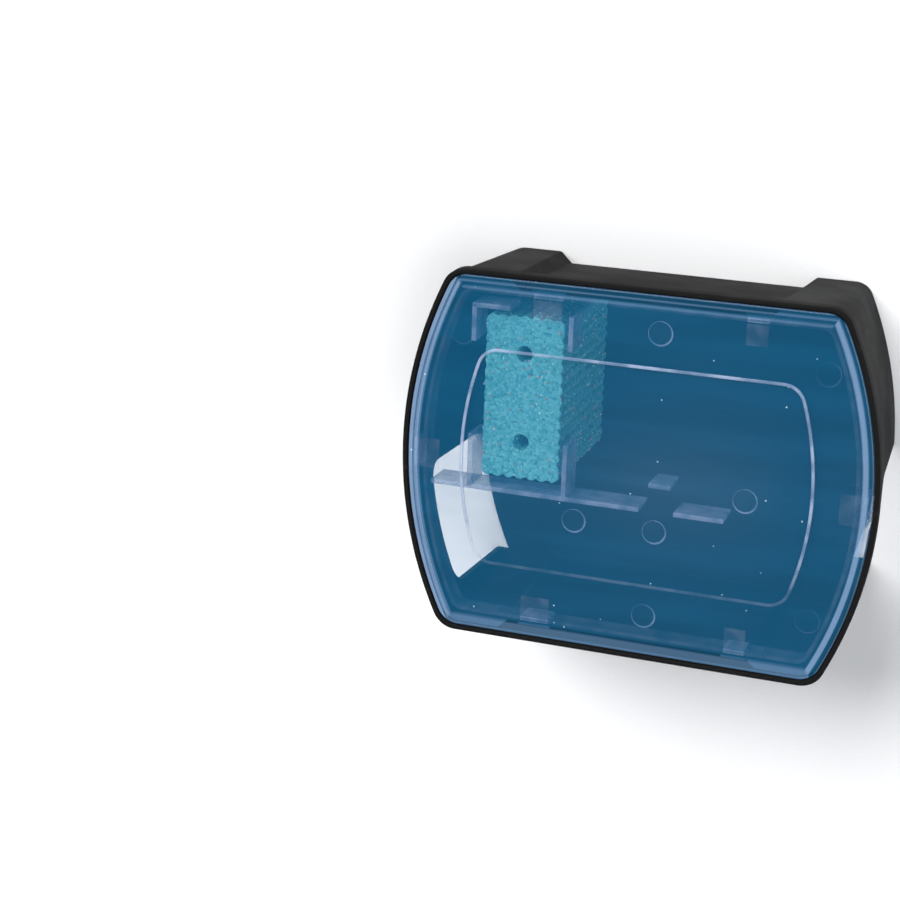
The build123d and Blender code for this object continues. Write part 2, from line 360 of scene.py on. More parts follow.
class Shader:
    """A material under construction: one Principled shader, and the nodes that feed it."""

    def __init__(self, name: str) -> None:
        """Starts a material with an unlinked Principled shader."""
        self.material = bpy.data.materials.new(name)
        self.material.use_nodes = True
        self.tree = self.material.node_tree
        self.tree.nodes.clear()
        self.principled = self.node("ShaderNodeBsdfPrincipled")
        output = self.node("ShaderNodeOutputMaterial")
        self.link(self.principled.outputs["BSDF"], output.inputs["Surface"])
        self.place = self.node("ShaderNodeTexCoord").outputs["Object"]

    def node(self, kind: str) -> bpy.types.Node:
        """A new node of a kind."""
        return self.tree.nodes.new(kind)

    def link(self, source: bpy.types.NodeSocket, target: bpy.types.NodeSocket) -> None:
        """Links one socket to another."""
        self.tree.links.new(source, target)

    def feed(self, value: float | bpy.types.NodeSocket, target: bpy.types.NodeSocket) -> None:
        """Links a socket to a target, or sets the target to a number."""
        if isinstance(value, bpy.types.NodeSocket):
            self.link(value, target)
        else:
            target.default_value = value

    def set(self, **values: float | Sequence[float] | bpy.types.NodeSocket) -> None:
        """Sets or links the Principled shader's inputs, named with _ for each space."""
        for name, value in values.items():
            socket = self.principled.inputs[name.replace("_", " ")]
            if isinstance(value, tuple) and socket.type == "RGBA":
                value = (*value, 1.0)
            self.feed(value, socket)

    def stretched(self, scale: Sequence[float]) -> bpy.types.NodeSocket:
        """Object coordinates, scaled along each axis."""
        mapping = self.node("ShaderNodeMapping")
        self.link(self.place, mapping.inputs["Vector"])
        mapping.inputs["Scale"].default_value = scale
        return mapping.outputs["Vector"]

    def noise(
        self,
        scale: float,
        detail: float = 4.0,
        stretch: Sequence[float] = (1.0, 1.0, 1.0),
        distortion: float = 0.0,
    ) -> bpy.types.NodeSocket:
        """Cloudy noise from 0 to 1.

        Args:
            scale: Features per metre.
            detail: How many finer layers it has.
            stretch: Scale along each axis before the noise.
            distortion: How much it swirls.

        Returns:
            The noise's value.
        """
        noise = self.node("ShaderNodeTexNoise")
        self.link(self.stretched(stretch), noise.inputs["Vector"])
        noise.inputs["Scale"].default_value = scale
        noise.inputs["Detail"].default_value = detail
        noise.inputs["Distortion"].default_value = distortion
        return noise.outputs[0]

    def cells(self, scale: float) -> bpy.types.Node:
        """A Voronoi node on the piece's own coordinates, with cells per metre."""
        cells = self.node("ShaderNodeTexVoronoi")
        self.link(self.place, cells.inputs["Vector"])
        cells.inputs["Scale"].default_value = scale
        return cells

    def math(
        self,
        operation: str,
        first: float | bpy.types.NodeSocket,
        second: float | bpy.types.NodeSocket = 0.0,
    ) -> bpy.types.NodeSocket:
        """The result of a Math node.

        Args:
            operation: Blender's name for it.
            first: First value.
            second: Second value, where it takes one.

        Returns:
            The node's output.
        """
        made = self.node("ShaderNodeMath")
        made.operation = operation
        self.feed(first, made.inputs[0])
        self.feed(second, made.inputs[1])
        return made.outputs[0]

    def remap(
        self,
        value: bpy.types.NodeSocket,
        source: tuple[float, float],
        target: tuple[float, float] = (0.0, 1.0),
    ) -> bpy.types.NodeSocket:
        """Moves a value smoothly from one range to another, and stops at its ends.

        Args:
            value: The value.
            source: Range that it comes in.
            target: Range that it leaves in.

        Returns:
            The new value.
        """
        made = self.node("ShaderNodeMapRange")
        made.interpolation_type = "SMOOTHSTEP"
        self.link(value, made.inputs["Value"])
        made.inputs["From Min"].default_value, made.inputs["From Max"].default_value = source
        made.inputs["To Min"].default_value, made.inputs["To Max"].default_value = target
        return made.outputs["Result"]

    def blend(
        self,
        share: float | bpy.types.NodeSocket,
        first: Colour | bpy.types.NodeSocket,
        second: Colour | bpy.types.NodeSocket,
    ) -> bpy.types.NodeSocket:
        """Mixes two colours.

        Args:
            share: How much of the second one shows.
            first: First colour.
            second: Second colour.

        Returns:
            The mixed colour.
        """
        made = self.node("ShaderNodeMix")
        made.data_type = "RGBA"
        self.feed(share, made.inputs[0])
        for value, socket in ((first, made.inputs[6]), (second, made.inputs[7])):
            if isinstance(value, bpy.types.NodeSocket):
                self.link(value, socket)
            else:
                socket.default_value = (*value, 1.0)
        return made.outputs[2]

    def bump(self, height: bpy.types.NodeSocket, distance: float, strength: float) -> None:
        """Roughens the surface by a height.

        Args:
            height: Value from 0 to 1.
            distance: Height of 1 in metres.
            strength: How much of it shows.
        """
        made = self.node("ShaderNodeBump")
        made.inputs["Strength"].default_value = strength
        made.inputs["Distance"].default_value = distance
        self.link(height, made.inputs["Height"])
        self.link(made.outputs["Normal"], self.principled.inputs["Normal"])

    def axes(self) -> tuple[bpy.types.NodeSocket, ...]:
        """Object X, Y and Z as three values."""
        split = self.node("ShaderNodeSeparateXYZ")
        self.link(self.place, split.inputs[0])
        return tuple(split.outputs)


class GeometryTree:
    """A Geometry Nodes tree with named inputs, which ends in plain geometry with one material."""

    def __init__(self, name: str, **inputs: float) -> None:
        """Starts a tree.

        Args:
            name: Name of the tree.
            **inputs: Its numeric inputs and their defaults.
        """
        self.tree = bpy.data.node_groups.new(name, "GeometryNodeTree")
        face = self.tree.interface
        face.new_socket("Geometry", in_out="INPUT", socket_type="NodeSocketGeometry")
        face.new_socket("Geometry", in_out="OUTPUT", socket_type="NodeSocketGeometry")
        for label, value in inputs.items():
            kind = "NodeSocketInt" if isinstance(value, int) else "NodeSocketFloat"
            face.new_socket(label, in_out="INPUT", socket_type=kind).default_value = value
        self.start = self.tree.nodes.new("NodeGroupInput")
        self.end = self.tree.nodes.new("NodeGroupOutput")

    def given(self, label: str = "Geometry") -> bpy.types.NodeSocket:
        """One of the tree's inputs."""
        return self.start.outputs[label]

    def node(
        self, kind: str, *links: tuple[str | int, object], **settings: object
    ) -> bpy.types.Node:
        """A new node.

        Args:
            kind: Its type.
            *links: Pairs of an input's name or number and the socket or value that it gets.
            **settings: The node's own properties.

        Returns:
            The node.
        """
        made = self.tree.nodes.new(kind)
        for name, value in settings.items():
            setattr(made, name, value)
        for key, value in links:
            if isinstance(value, bpy.types.NodeSocket):
                self.tree.links.new(value, made.inputs[key])
            else:
                made.inputs[key].default_value = value
        return made

    def math(self, operation: str, first: object, second: object = 0.0) -> bpy.types.NodeSocket:
        """The result of a Math node on sockets or numbers."""
        return self.node("ShaderNodeMath", (0, first), (1, second), operation=operation).outputs[0]

    def finish(self, geometry: bpy.types.NodeSocket, material: bpy.types.Material) -> None:
        """Ends the tree in Realize Instances and Set Material."""
        real = self.node("GeometryNodeRealizeInstances", ("Geometry", geometry))
        painted = self.node(
            "GeometryNodeSetMaterial", ("Geometry", real.outputs[0]), ("Material", material)
        )
        self.tree.links.new(painted.outputs[0], self.end.inputs[0])

    def run(self, source: bpy.types.Object, **values: float) -> bpy.types.Object:
        """Runs the tree on an object and keeps the plain mesh.

        Args:
            source: The object, which is changed.
            **values: The tree's inputs that differ from their defaults.

        Returns:
            The same object.
        """
        step = source.modifiers.new(self.tree.name, "NODES")
        step.node_group = self.tree
        for item in self.tree.interface.items_tree:
            if item.item_type == "SOCKET" and item.in_out == "INPUT" and item.name in values:
                step[item.identifier] = values[item.name]
        return settle(source)


# ---------------------------------------------------------------- finishes


@dataclass(frozen=True)
class BlackPlastic:
    """Satin black moulded plastic with a fine texture, dull patches and faint scuffs.

    Attributes:
        colour: Colour of the plastic.
        worn: Colour where it has been rubbed.
        gloss: Lowest and highest roughness.
    """

    colour: Colour = (0.0085, 0.0083, 0.0085)
    worn: Colour = (0.021, 0.02, 0.0198)
    gloss: tuple[float, float] = (0.58, 0.74)

    def material(self, name: str) -> bpy.types.Material:
        """Builds the material under a name."""
        made = Shader(name)
        cloud = made.noise(28.0, 5.0)
        grain = made.noise(2600.0, 2.0)
        scuffs = made.noise(60.0, 8.0, (1.0, 5.0, 1.2), 0.6)
        rubbed = made.remap(scuffs, (0.58, 0.74), (0.0, 0.55))
        made.set(
            Base_Color=made.blend(rubbed, self.colour, self.worn),
            Roughness=made.remap(cloud, (0.3, 0.7), self.gloss),
            Specular_IOR_Level=0.05,
        )
        made.bump(grain, 0.05 * MM, 0.35)
        return made.material


@dataclass(frozen=True)
class ClearPlastic:
    """Hazy see-through plastic that scatters blue over a dark tray.

    Attributes:
        colour: Colour of the haze.
        glow: Colour where light gathers, at edges and thick places.
        cover: Share of what is behind that one surface hides.
        glow_cover: The same where light gathers.
        gloss: Roughness of the moulded surface.
        left_bands: Bands of light along the -X end, each with its start and end in millimetres
            from the plate's edge, its share of light and the softness of its sides.
        right_bands: The same along the +X end.
        near_bands: The same along the -Y side.
        far_bands: The same along the +Y side.
    """

    colour: Colour = (0.010, 0.165, 0.345)
    glow: Colour = (0.33, 0.49, 0.74)
    cover: float = 0.23
    glow_cover: float = 0.5
    gloss: float = 0.2
    left_bands: tuple[Band, ...] = ((0.0, 1.4, 0.95, 0.3), (2.3, 3.2, 0.8, 0.4))
    right_bands: tuple[Band, ...] = ((0.0, 0.4, 0.45, 0.2), (2.2, 3.6, 0.7, 0.5))
    near_bands: tuple[Band, ...] = ((0.0, 3.4, 0.42, 1.0),)
    far_bands: tuple[Band, ...] = (
        (0.0, 0.5, 0.45, 0.3),
        (2.0, 2.4, 0.42, 0.3),
        (4.3, 4.8, 0.34, 0.4),
    )

    def material(self, name: str, outline: Outline, lid_inset: float) -> bpy.types.Material:
        """Builds the plate's material: haze, flow lines, dust and bright edges.

        Args:
            name: Name of the material.
            outline: The rim's outline, which the bright edges follow.
            lid_inset: How far the plate's edge stands in from it.

        Returns:
            The material.
        """
        made = Shader(name)
        glow = self.edge_glow(made, outline, lid_inset)
        flow = made.noise(38.0, 1.0, (0.35, 3.2, 1.0))
        dust = self.dust(made)
        thick = tuple(1.12 * c for c in self.colour)
        haze = made.blend(flow, self.colour, thick)
        haze = made.blend(glow, haze, self.glow)
        cover = made.remap(flow, (0.35, 0.65), (self.cover * 0.94, self.cover * 1.06))
        cover = made.math("ADD", cover, made.math("MULTIPLY", glow, self.glow_cover - self.cover))
        cover = made.math("ADD", cover, made.math("MULTIPLY", dust, 0.55))
        made.set(
            Base_Color=made.blend(dust, haze, (0.62, 0.72, 0.78)),
            Alpha=cover,
            Roughness=self.gloss,
            IOR=1.49,
        )
        return made.material

    @staticmethod
    def bands(
        made: Shader, inset: bpy.types.NodeSocket, bands: Sequence[Band]
    ) -> bpy.types.NodeSocket:
        """Bands of light along the plate's edge.

        Args:
            made: The shader that they are built in.
            inset: Distance in from the plate's edge.
            bands: The bands, from the edge inward, with gaps between them.

        Returns:
            Their share, 0 outside them.
        """
        reach = 8.0
        ramp = made.node("ShaderNodeValToRGB")
        ramp.color_ramp.interpolation = "EASE"
        made.link(made.math("DIVIDE", inset, reach * MM), ramp.inputs[0])
        stops = [
            (place / reach, share)
            for start, end, top, soft in bands
            for place, share in ((start - soft, 0.0), (start, top), (end, top), (end + soft, 0.0))
            if place >= 0
        ]
        first, last = ramp.color_ramp.elements
        first.position, last.position = 0.0, 1.0
        first.color = (*(stops[0][1],) * 3, 1.0)
        last.color = (0.0, 0.0, 0.0, 1.0)
        for place, share in stops:
            ramp.color_ramp.elements.new(place).color = (share, share, share, 1.0)
        return ramp.outputs[0]

    def edge_glow(self, made: Shader, outline: Outline, lid_inset: float) -> bpy.types.NodeSocket:
        """Share of light that gathers along the plate's edge, which differs from side to side.

        Args:
            made: The shader that it is built in.
            outline: The rim's outline.
            lid_inset: How far the plate's edge stands in from it.

        Returns:
            The share.
        """
        x, y, _ = made.axes()
        along = made.math("SUBTRACT", made.math("ABSOLUTE", x), outline.end_centre)
        squares = made.math("ADD", made.math("POWER", along, 2.0), made.math("POWER", y, 2.0))
        end = made.math(
            "SUBTRACT", outline.end_radius - lid_inset, made.math("SQRT", squares)
        )
        side = made.math("SUBTRACT", outline.half_width - lid_inset, made.math("ABSOLUTE", y))
        at_end = made.math("LESS_THAN", end, side)
        low_end = made.math("LESS_THAN", x, 0.0)
        low_side = made.math("LESS_THAN", y, 0.0)
        right = self.bands(made, end, self.right_bands)
        left = self.bands(made, end, self.left_bands)
        ends = self.chosen(made, low_end, right, left)
        far = self.bands(made, side, self.far_bands)
        near = self.bands(made, side, self.near_bands)
        sides = self.chosen(made, low_side, far, near)
        return self.chosen(made, at_end, sides, ends)

    @staticmethod
    def chosen(
        made: Shader, share: bpy.types.NodeSocket, first: object, second: object
    ) -> bpy.types.NodeSocket:
        """One value where share is 0 and another where it is 1.

        Args:
            made: The shader that it is built in.
            share: Which of the two shows.
            first: Value at 0.
            second: Value at 1.

        Returns:
            The chosen value.
        """
        mix = made.node("ShaderNodeMix")
        made.link(share, mix.inputs[0])
        made.link(first, mix.inputs[2])
        made.link(second, mix.inputs[3])
        return mix.outputs[0]

    @staticmethod
    def dust(made: Shader) -> bpy.types.NodeSocket:
        """Share of dust: a few pale specks."""
        cells = made.cells(230.0)
        speck = made.remap(cells.outputs["Distance"], (0.085, 0.05))
        chosen = made.node("ShaderNodeSeparateColor")
        made.link(cells.outputs["Color"], chosen.inputs[0])
        return made.math("MULTIPLY", speck, made.math("GREATER_THAN", chosen.outputs[0], 0.9))


@dataclass(frozen=True)
class ThickPlastic:
    """The same plastic where it stands on edge and gathers light: ribs, skirt, clips and lines.

    Attributes:
        colour: Colour of the haze.
        lit: Colour where it gathers most light.
        cover: Least and most share of what is behind that one surface hides.
        gloss: Roughness of the surface.
        shaded_side_share: Share of its cover that is left at the -Y side, which is painted fainter
            there as painted shade on the side away from the light.
    """

    colour: Colour = (0.2, 0.32, 0.53)
    lit: Colour = (0.35, 0.44, 0.65)
    cover: tuple[float, float] = (0.36, 0.48)
    gloss: float = 0.28
    shaded_side_share: float = 1.0

    def material(self, name: str) -> bpy.types.Material:
        """Builds the material under a name."""
        made = Shader(name)
        cloud = made.noise(140.0, 1.0)
        _, y, _ = made.axes()
        # Painted shade: the cover falls off towards the -Y side, the side that faces away from the
        # light.
        left = made.remap(y, (-38.0 * MM, -18.0 * MM), (self.shaded_side_share, 1.0))
        cover = made.math("MULTIPLY", made.remap(cloud, (0.3, 0.7), self.cover), left)
        made.set(
            Base_Color=made.blend(made.remap(cloud, (0.35, 0.65)), self.colour, self.lit),
            Alpha=cover,
            Roughness=self.gloss,
            IOR=1.49,
        )
        return made.material


@dataclass(frozen=True)
class BaitWax:
    """Crumbly wax and meal: every crumb has its own tint, and the pits between them are darkened as
    painted shade.

    Attributes:
        low: Colour of the darkest crumbs.
        high: Colour of the palest crumbs.
        pit_shade_colour: Painted shade colour in the pits between crumbs.
        crumb_scale: Crumbs per metre.
    """

    low: Colour = (0.035, 0.36, 0.40)
    high: Colour = (0.24, 0.72, 0.74)
    pit_shade_colour: Colour = (0.015, 0.20, 0.23)
    crumb_scale: float = 950.0

    def material(self, name: str) -> bpy.types.Material:
        """Builds the material under a name."""
        made = Shader(name)
        crumbs = made.cells(self.crumb_scale)
        tint = made.node("ShaderNodeSeparateColor")
        made.link(crumbs.outputs["Color"], tint.inputs[0])
        cloud = made.noise(260.0, 3.0)
        share = made.math("MULTIPLY_ADD", tint.outputs[0], 0.55)
        made.link(made.math("MULTIPLY", cloud, 0.5), share.node.inputs[2])
        crumb = made.blend(share, self.low, self.high)
        # Painted shade: darkens the pits between crumbs, where the rough surface is pressed in.
        pits = made.remap(crumbs.outputs["Distance"], (0.5, 0.95), (0.0, 0.7))
        made.set(
            Base_Color=made.blend(pits, crumb, self.pit_shade_colour),
            Roughness=made.remap(cloud, (0.3, 0.7), (0.62, 0.86)),
            IOR=1.44,
        )
        made.bump(made.noise(1800.0, 5.0), 0.25 * MM, 0.6)
        return made.material


@dataclass(frozen=True)
class Grain:
    """Seeds and husks in the bait, each shaded from end to end.

    Attributes:
        dark: Darker colour.
        pale: Paler colour.
        scale: Patches per metre.
    """

    dark: Colour
    pale: Colour
    scale: float = 700.0

    def material(self, name: str) -> bpy.types.Material:
        """Builds the material under a name."""
        made = Shader(name)
        patches = made.noise(self.scale, 3.0)
        made.set(
            Base_Color=made.blend(made.remap(patches, (0.38, 0.62)), self.dark, self.pale),
            Roughness=made.remap(patches, (0.3, 0.7), (0.5, 0.8)),
        )
        made.bump(made.noise(3000.0, 3.0), 0.12 * MM, 0.5)
        return made.material


@dataclass(frozen=True)
class StudioPaper:
    """Pale matt paper under the object.

    Attributes:
        colour: Colour of the paper.
    """

    colour: Colour = (0.88, 0.88, 0.88)

    def material(self, name: str) -> bpy.types.Material:
        """Builds the material under a name."""
        made = Shader(name)
        fibres = made.noise(900.0, 0.0)
        made.set(
            Base_Color=made.blend(fibres, self.colour, tuple(c * 1.03 for c in self.colour)),
            Roughness=0.9,
            Specular_IOR_Level=0.1,
        )
        return made.material


# ---------------------------------------------------------------- sub-assemblies


@dataclass(frozen=True)
class Place:
    """Where a clip hangs: the middle of its outer face, the way it faces, and its width."""

    x: float
    y: float
    angle: float
    width: float

    def turned(self, out: float, along: float, z: float) -> Vector:
        """A point at a distance outward and sideways from the middle of the clip's outer face."""
        c, s = math.cos(self.angle), math.sin(self.angle)
        return Vector((self.x + out * c - along * s, self.y + out * s + along * c, z))


@dataclass
class Station:
    """Sizes that the tray, lid and bait share. Lengths are in metres.

    Attributes:
        wall: Thickness of the tray's walls.
        floor: Thickness of its floor.
        rim_wall: Thickness of the rim above the ledge.
        collar: Height of the upright collar.
        collar_step: How far the collar stands out from the top of the wall.
        foot_inset: How far the foot is set in from the rim.
        panel_foot: Depth of the long walls' panels at the foot.
        panel_top: Depth of the panels under the collar.
        lid_below_rim: How far the plate lies below the rim.
        plate: Thickness of the lid's plate.
        lid_gap: Gap between the lid and the rim.
        skirt_setback: How far the skirt and the side clips stand in from the lid's edge.
        slot_depth: How deep the clips' slots are cut into the walls.
        slot_reach: How far the slots reach below the ledge.
        clip_gap: Gap between the end clips and the end walls.
        end_bow: How far the ends bulge past their corners.
        corner_radius: Radius of the rim's corners.
        panel_half: Half of the width of the long walls' panels.
        end_clip_width: Width of the two clips on the ends.
        end_clip_y: Y of their middles.
        side_clips: X of the middle and width of each clip along a long side.
    """

    wall: float = 1.8 * MM
    floor: float = 2.0 * MM
    rim_wall: float = 1.8 * MM
    collar: float = 5.0 * MM
    collar_step: float = 1.0 * MM
    foot_inset: float = 4.5 * MM
    panel_foot: float = 4.2 * MM
    panel_top: float = 3.4 * MM
    lid_below_rim: float = 0.6 * MM
    plate: float = 2.0 * MM
    lid_gap: float = 0.3 * MM
    skirt_setback: float = 4.85 * MM
    slot_depth: float = 1.6 * MM
    slot_reach: float = 10.5 * MM
    clip_gap: float = 0.35 * MM
    end_bow: float = 16.5 * MM
    corner_radius: float = 9.0 * MM
    panel_half: float = 46.5 * MM
    end_clip_width: float = 11.0 * MM
    end_clip_y: float = -2.0 * MM
    side_clips: tuple[Point2, ...] = ((-34.0 * MM, 10.5 * MM), (40.0 * MM, 7.5 * MM))

    def __post_init__(self) -> None:
        """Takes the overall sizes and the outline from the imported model."""
        _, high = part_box("base_tray")
        self.height = high.z
        self.rim = Outline(high.x, high.y, self.end_bow, self.corner_radius, self.panel_half)
        self.collar_z = self.height - self.collar
        self.plate_top = self.height - self.lid_below_rim
        self.ledge_z = self.plate_top - self.plate
        self.lid_inset = self.rim_wall + self.lid_gap

    def wall_inset(self, z: float) -> float:
        """Inset of the outside of the tapered wall at a height."""
        return self.foot_inset + (self.collar_step - self.foot_inset) * z / self.collar_z

    def panel_depth(self, z: float) -> float:
        """Depth of the long walls' panels at a height."""
        return self.panel_foot + (self.panel_top - self.panel_foot) * z / self.collar_z

    def clip_places(self) -> list[Place]:
        """The six clips, two on the ends and two on each long side."""
        side_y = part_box("lid")[1].y - self.skirt_setback
        inset = self.wall_inset(self.ledge_z - self.slot_reach) + self.wall + self.clip_gap
        width, end_y = self.end_clip_width, self.end_clip_y
        end = self.rim.end_x(inset, width / 2 - end_y)
        places = [Place(end, end_y, 0.0, width), Place(-end, end_y, math.pi, width)]
        for x, side_width in self.side_clips:
            for side in (1, -1):
                places.append(Place(x, side * side_y, side * math.pi / 2, side_width))
        return places


@dataclass
class Tray:
    """The black tray: tapered walls with set-back panels, an upright collar and two entrances.

    Attributes:
        station: Shared sizes.
        entrances: Lowest and highest Y of the entrance in the -X end and in the +X end.
        entrance_height: Their height above the floor.
        entrance_radius: Radius of their upper corners.
        floor_setback: How far the floor is cut back behind them.
        lip: Radius of the rim's edges.
        foot_edge: Radius of the foot's edge.
        floor_fillet: Radius between the floor and the walls.
        slot_side_gap: Gap at each side of a clip in its slot.
        cut_reach: How far a cutter reaches past what it cuts.
    """

    station: Station
    entrances: tuple[Point2, Point2] = ((-58.0 * MM, -12.0 * MM), (-41.0 * MM, 5.0 * MM))
    entrance_height: float = 45.0 * MM
    entrance_radius: float = 6.0 * MM
    floor_setback: float = 5.0 * MM
    lip: float = 0.5 * MM
    foot_edge: float = 1.0 * MM
    floor_fillet: float = 1.2 * MM
    slot_side_gap: float = 0.8 * MM
    cut_reach: float = 5.0 * MM

    def ring(self, z: float, inset: float, flat: bool = False) -> Ring:
        """One ring of the shell at a height and inset."""
        station = self.station
        depth = station.panel_depth(min(z, station.collar_z))
        return raised(station.rim.loop(inset, depth, flat), z)

    def shell(self) -> bpy.types.Mesh:
        """The tray before its openings are cut: up the wall, over the rim and down inside."""
        s = self.station
        quarter = [math.radians(a) for a in (0, 30, 60, 90)]
        rings = [
            self.ring(
                self.foot_edge * (1 - math.cos(a)),
                s.wall_inset(0) + self.foot_edge * (1 - math.sin(a)),
            )
            for a in quarter
        ]
        rings.append(self.ring(s.collar_z, s.collar_step))
        rings.append(self.ring(s.collar_z, self.lip / 2, True))
        rings.append(self.ring(s.collar_z + self.lip / 2, 0.0, True))
        for a in quarter:
            drop = self.lip * (1 - math.sin(a))
            rings.append(self.ring(s.height - drop, self.lip * (1 - math.cos(a)), True))
        for a in reversed(quarter):
            inner = s.rim_wall - self.lip * (1 - math.cos(a))
            rings.append(self.ring(s.height - self.lip * (1 - math.sin(a)), inner, True))
        rings.append(self.ring(s.ledge_z, s.rim_wall, True))
        rings.append(self.ring(s.ledge_z, s.collar_step + s.wall))
        rings.append(self.ring(s.collar_z, s.collar_step + s.wall))
        start = s.floor + self.floor_fillet
        rings.append(self.ring(start, s.wall_inset(start) + s.wall))
        for a in quarter[1:]:
            rings.append(
                self.ring(
                    start - self.floor_fillet * math.sin(a),
                    s.wall_inset(s.floor) + s.wall + self.floor_fillet * (1 - math.cos(a)),
                )
            )
        return stacked("tray_shell", rings)

    def entrance_top(self, span: Point2, y: float) -> float:
        """Height of an entrance's upper edge at a given Y.

        Args:
            span: The entrance's lowest and highest Y.
            y: The place along it.

        Returns:
            The height.
        """
        low, high = span
        radius = self.entrance_radius
        over = max(low + radius - y, y - high + radius, 0.0)
        return self.entrance_height - radius + math.sqrt(max(radius**2 - over**2, 0.0))

    def entrance_cutter(self, side: int) -> bpy.types.Mesh:
        """Solid that opens one end wall and sets the floor back.

        Args:
            side: 1 for the +X end and -1 for the -X end.

        Returns:
            The solid's mesh.
        """
        span = self.entrances[side > 0]
        low, high = span
        radius = self.entrance_radius
        bends = [radius * (1 - math.cos(a)) for a in spaced(0.0, math.pi / 2, 8)]
        columns = [low + b for b in bends]
        columns += spaced(low + radius, high - radius, 12)[1:-1]
        columns += [high - b for b in reversed(bends)]
        inset = self.station.foot_inset + self.floor_setback
        below, outside = -self.cut_reach, self.station.rim.half_length + self.cut_reach
        shape = bmesh.new()
        rows = []
        for y in columns:
            inner = self.station.rim.end_x(inset, y)
            top = self.entrance_top(span, y)
            corners = ((inner, below), (outside, below), (outside, top), (inner, top))
            rows.append([shape.verts.new((side * x, y, z)) for x, z in corners])
        for near, far in zip(rows, rows[1:]):
            bridged(shape, near, far)
        shape.faces.new(rows[0])
        shape.faces.new(rows[-1])
        return mesh_from(shape, "entrance")

    def slot_cutter(self) -> bpy.types.Mesh:
        """Solids that open the ledge and walls where the lid's clips drop in."""
        shape = bmesh.new()
        for place in self.station.clip_places():
            half = place.width / 2 + self.slot_side_gap
            made = bmesh.ops.create_cube(shape, size=1.0)
            low_z = self.station.ledge_z - self.station.slot_reach
            high_z = self.station.ledge_z + 0.4 * MM
            for vert in made["verts"]:
                out = self.station.slot_depth if vert.co.x > 0 else -0.2 * MM
                along = math.copysign(half, vert.co.y)
                vert.co = place.turned(out, along, high_z if vert.co.z > 0 else low_z)
        return mesh_from(shape, "slots")

    def build(self) -> list[bpy.types.Object]:
        """Builds the tray as one moulding."""
        made = plain_object("tray_moulding", self.shell())
        for side in (1, -1):
            cut_away(made, self.entrance_cutter(side))
        cut_away(made, self.slot_cutter())
        soft_shaded(made.data)
        dress(made, BlackPlastic().material("black_plastic"), Body.TRAY)
        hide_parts("base_tray")
        return [made]


